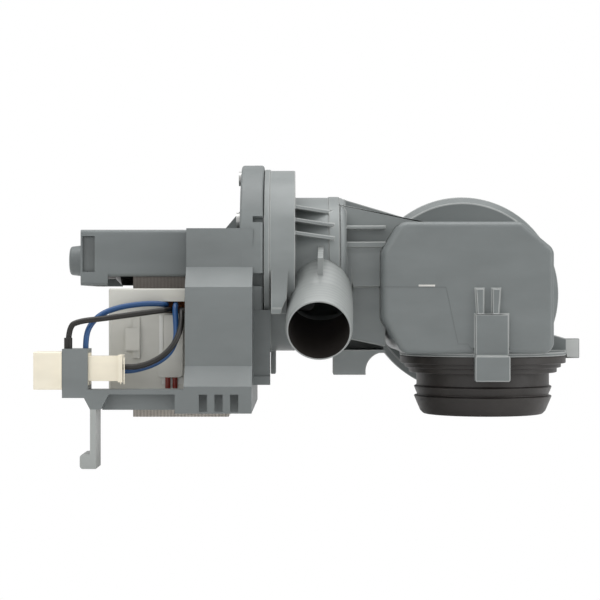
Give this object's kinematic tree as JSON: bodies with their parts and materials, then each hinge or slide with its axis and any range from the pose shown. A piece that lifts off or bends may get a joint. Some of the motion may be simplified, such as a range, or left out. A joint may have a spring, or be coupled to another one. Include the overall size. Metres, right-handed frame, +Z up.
{
  "type": "drain pump",
  "caption": "Washing machine drain pump: filter housing with round inlet seal, slanted outlet nozzle, stepped motor bracket, laminated motor, connector arm and lint filter.",
  "frame": {"origin": "centre of the inlet seal's lower rim", "axes": "+X along the motor axis towards the filter box, +Y towards the filter cap, +Z up, against the way a pipe leaves the inlet"},
  "size_m": [0.2342, 0.1436, 0.1289],
  "materials": {
    "housing": "satin grey glass-filled polypropylene",
    "bracket": "satin grey plastic",
    "cover": "satin grey plastic",
    "seal": "dull black rubber",
    "coil_cover": "light grey plastic",
    "connector": "cream plastic",
    "core": "stacked sheet steel",
    "copper": "enamelled copper wire",
    "bobbin": "white plastic",
    "can": "black plastic",
    "steel": "bright steel",
    "magnet": "dark ferrite",
    "bush": "sintered bearing",
    "rotor_plastic": "natural nylon",
    "impeller": "black nylon",
    "filter": "dark grey plastic",
    "blue_lead": "blue lead insulation",
    "black_lead": "black lead insulation",
    "red_lead": "red-brown lead insulation",
    "brass": "tinned brass"
  },
  "bodies": {
    "housing": {"inlet_seal": "seal", "filter_housing": "housing", "filter_barrel": "housing", "pump_chamber": "housing", "outlet_nozzle": "housing", "motor_bracket": "bracket", "flange_screws": "steel", "rear_cover": "cover", "rear_damper": "seal", "stator_core": "core", "coil_bobbin_front": "bobbin", "coil_bobbin_back": "bobbin", "coil_winding_front": "copper", "coil_winding_back": "copper", "coil_cover": "coil_cover", "thermal_protector": "can", "fuse_leads": "red_lead", "rotor_can": "can", "can_o_ring": "seal", "rear_bush": "bush", "rear_bush_mount": "seal", "front_bush": "bush", "front_bush_mount": "seal", "bracket_hook": "bracket", "connector_socket": "connector", "socket_pins": "brass", "connector_plug": "connector", "lead_blue_upper": "blue_lead", "lead_black_upper": "black_lead", "lead_blue_lower": "blue_lead", "lead_black_lower": "black_lead", "terminal_pins": "brass", "thrust_washer": "steel", "lead_sleeve": "black_lead"},
    "rotor": {"rotor_magnet": "magnet", "magnet_dog": "rotor_plastic"},
    "impeller": {"rotor_shaft": "steel", "drive_cam": "rotor_plastic", "impeller": "impeller", "impeller_nut": "brass"},
    "filter_basket": {"filter_basket": "filter", "basket_mouth": "filter"},
    "filter_cap": {"filter_cap": "filter", "filter_seal_ring": "seal"}
  },
  "joints": [
    {"name": "rotor_spin", "type": "hinge", "parent": "housing", "child": "rotor", "pos_m": [0, 0, 0.0676], "axis": [1, 0, 0], "continuous": true},
    {"name": "impeller_slip", "type": "hinge", "parent": "rotor", "child": "impeller", "pos_m": [0, 0, 0.0676], "axis": [1, 0, 0], "range_deg": [-97, 97]},
    {"name": "filter_pull", "type": "slide", "parent": "housing", "child": "filter_basket", "axis": [0, 1, 0], "range_m": [0, 0.11]},
    {"name": "filter_turn", "type": "hinge", "parent": "filter_basket", "child": "filter_cap", "pos_m": [-0.003, 0, 0.053], "axis": [0, 1, 0], "range_deg": [0, 90]}
  ]
}
